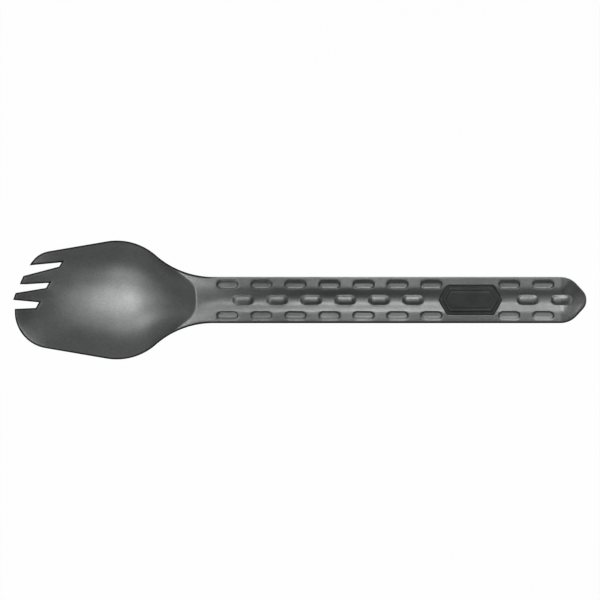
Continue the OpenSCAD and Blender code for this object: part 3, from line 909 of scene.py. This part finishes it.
def adhesive_material():
    """Pale bonding film with small flow marks."""
    material, tree, shader = new_material("adhesive")
    patch = use_group(tree, PATCHES, Scale=400.0, Low=0.0, High=1.0)
    tree.links.new(mixed_colour(tree, patch, FILM_DARK, FILM_PALE), shader.inputs["Base Color"])
    shader.inputs["Roughness"].default_value = FILM_ROUGH
    bump(tree, shader, use_group(tree, GRAIN), TEXTURE_DEPTH)
    return material


# Pieces
sheet_points, sheet_faces, sheet_painted_shade = sheet_shell()
sheet = add_piece("pressed_sheet", sheet_points, sheet_faces.tolist(), metal_material(),
                  "anodised_metal", "spork_body")
# Painted shade at each point, read by the metal
sheet.data.attributes.new("painted_rim_and_wall_shade", "FLOAT", "POINT").data.foreach_set("value", sheet_painted_shade)
add_piece("badge", *badge_shell(), badge_material(), "badge", "badge_plate")
film = bpy.data.objects["badge_adhesive"]
film.material_slots[0].material = adhesive_material()


# Floor, light and camera
FLOOR_HALF = 6.0
FLOOR_GAP = 0.00005
FLOOR_SHARE = 0.985
FLOOR_COLOUR = (0.9, 0.9, 0.9, 1.0)
WHITE = (1.0, 1.0, 1.0, 1.0)
WORLD_LEVEL = 0.03
HORIZON_LEVEL = 0.34
HORIZON_LOW = 0.25
HORIZON_HIGH = 0.75
BOWL_AIM = (-0.065, 0.0, 0.0)
END_AIM = (0.09, 0.0, 0.0)
# Each lamp's name, place, point that it faces, width, height, level and spread in degrees
LAMPS = (
    ("bowl_strip", (-0.088, 0.0, 0.2), (-0.088, 0.0, 0.0), 0.06, 0.24, 0.621, 60.0),
    ("side_low", (-0.085, -0.12, 0.17), BOWL_AIM, 0.08, 0.04, 0.205, 50.0),
    ("side_high", (-0.085, 0.12, 0.17), BOWL_AIM, 0.08, 0.04, 0.162, 50.0),
    ("back_low", (-0.14, -0.1, 0.15), BOWL_AIM, 0.05, 0.08, 0.062, 50.0),
    ("back_high", (-0.14, 0.1, 0.15), BOWL_AIM, 0.05, 0.08, 0.2, 50.0),
    ("back_middle", (-0.16, 0.0, 0.15), BOWL_AIM, 0.2, 0.05, 0.052, 50.0),
    ("grip_front", (0.02, 0.09, 0.2), (0.03, 0.0, 0.0), 0.1, 0.05, 0.334, 45.0),
    ("grip_middle", (0.1, 0.1, 0.2), (0.11, 0.0, 0.0), 0.1, 0.06, 0.253, 45.0),
    ("front_top", (0.03, 0.0, 0.2), (0.04, 0.0, 0.0), 0.09, 0.05, 0.18, 55.0),
    ("rear_top", (0.125, 0.0, 0.2), (0.135, 0.0, 0.0), 0.11, 0.05, 0.215, 55.0),
    ("front_low", (0.03, -0.1, 0.2), (0.04, 0.0, 0.0), 0.1, 0.05, 0.02, 55.0),
    ("rear_low", (0.125, -0.1, 0.2), (0.135, 0.0, 0.0), 0.11, 0.05, 0.07, 55.0),
    ("ramp_side", (0.07, 0.18, 0.1), (0.07, 0.0, 0.0), 0.16, 0.04, 0.235, 50.0),
    ("end_top", (0.2, 0.0, 0.15), END_AIM, 0.1, 0.05, 0.05, 50.0),
    ("end_side", (0.17, 0.1, 0.12), END_AIM, 0.1, 0.05, 0.427, 50.0),
)
CAMERA_FAR = 5.0
FOCUS_Z = 0.006
SEEN_WIDTH = 0.2145
SENSOR_W = 36.0
VIEW_END = 50.0


def larger(tree, first, second):
    """The larger of two values."""
    return add_node(tree, "Math", {"operation": "MAXIMUM"}, _0=first, _1=second).outputs[0]


def add_floor():
    """White floor: bright to the camera and in reflections, with a little plain white for the shadow."""
    mesh = bpy.data.meshes.new("floor")
    level = cad_low.z - FLOOR_GAP
    corners = [(x * FLOOR_HALF, y * FLOOR_HALF, level) for x, y in ((-1, -1), (1, -1), (1, 1), (-1, 1))]
    mesh.from_pydata(corners, [], [(0, 1, 2, 3)])
    floor = bpy.data.objects.new("floor", mesh)
    bpy.context.scene.collection.objects.link(floor)
    material, tree, shader = new_material("floor")
    tree.nodes.remove(shader)
    path = add_node(tree, "LightPath").outputs
    mirrored = larger(tree, path["Is Glossy Ray"], path["Is Transmission Ray"])
    seen = larger(tree, path["Is Camera Ray"], mirrored)
    share = add_node(tree, "Math", {"operation": "MULTIPLY"}, _0=seen, _1=FLOOR_SHARE)
    plain = add_node(tree, "BsdfDiffuse", Color=FLOOR_COLOUR)
    white = add_node(tree, "Emission", Color=WHITE, Strength=1.0)
    mix = add_node(tree, "MixShader", _0=share.outputs[0], _1=plain.outputs[0], _2=white.outputs[0])
    tree.links.new(mix.outputs[0], tree.nodes["Material Output"].inputs["Surface"])
    mesh.materials.append(material)


def add_area(name, place, aim, width, height, level, spread):
    """Add a soft box that faces a point, with a grid that holds its light to a spread in degrees."""
    data = bpy.data.lights.new(name, "AREA")
    data.shape = "RECTANGLE"
    data.size = width
    data.size_y = height
    data.energy = level * math.pi * width * height
    data.spread = math.radians(spread)
    lamp = bpy.data.objects.new(name, data)
    bpy.context.scene.collection.objects.link(lamp)
    lamp.location = place
    lamp.rotation_euler = (Vector(aim) - Vector(place)).to_track_quat("-Z", "Y").to_euler()
    lamp.visible_camera = False


def add_world():
    """Surroundings that are white to the camera, and pale at the horizon and dim above in reflections."""
    world = bpy.data.worlds.new("studio")
    world.use_nodes = True
    tree = world.node_tree
    path = add_node(tree, "LightPath").outputs
    way = add_node(tree, "SeparateXYZ", Vector=add_node(tree, "TexCoord").outputs["Generated"])
    level = add_node(tree, "MapRange", {"interpolation_type": "SMOOTHSTEP"}, Value=way.outputs[2],
                     From_Min=HORIZON_LOW, From_Max=HORIZON_HIGH, To_Min=HORIZON_LEVEL, To_Max=WORLD_LEVEL)
    mirrored = larger(tree, path["Is Glossy Ray"], path["Is Transmission Ray"])
    shown = add_node(tree, "Mix", _0=mirrored, _2=WORLD_LEVEL, _3=level.outputs[0])
    background = tree.nodes["Background"].inputs
    background["Color"].default_value = WHITE
    tree.links.new(larger(tree, shown.outputs[0], path["Is Camera Ray"]), background["Strength"])
    bpy.context.scene.world = world


def add_camera():
    """Camera straight above, far enough away that the view is almost without perspective."""
    data = bpy.data.cameras.new("camera")
    data.sensor_width = SENSOR_W
    data.lens = SENSOR_W * CAMERA_FAR / SEEN_WIDTH
    data.clip_end = VIEW_END
    camera = bpy.data.objects.new("camera", data)
    bpy.context.scene.collection.objects.link(camera)
    camera.location = (0.0, 0.0, FOCUS_Z + CAMERA_FAR)
    bpy.context.scene.camera = camera


add_floor()
for lamp in LAMPS:
    add_area(*lamp)
add_world()
add_camera()
bpy.context.scene.view_settings.view_transform = "Standard"
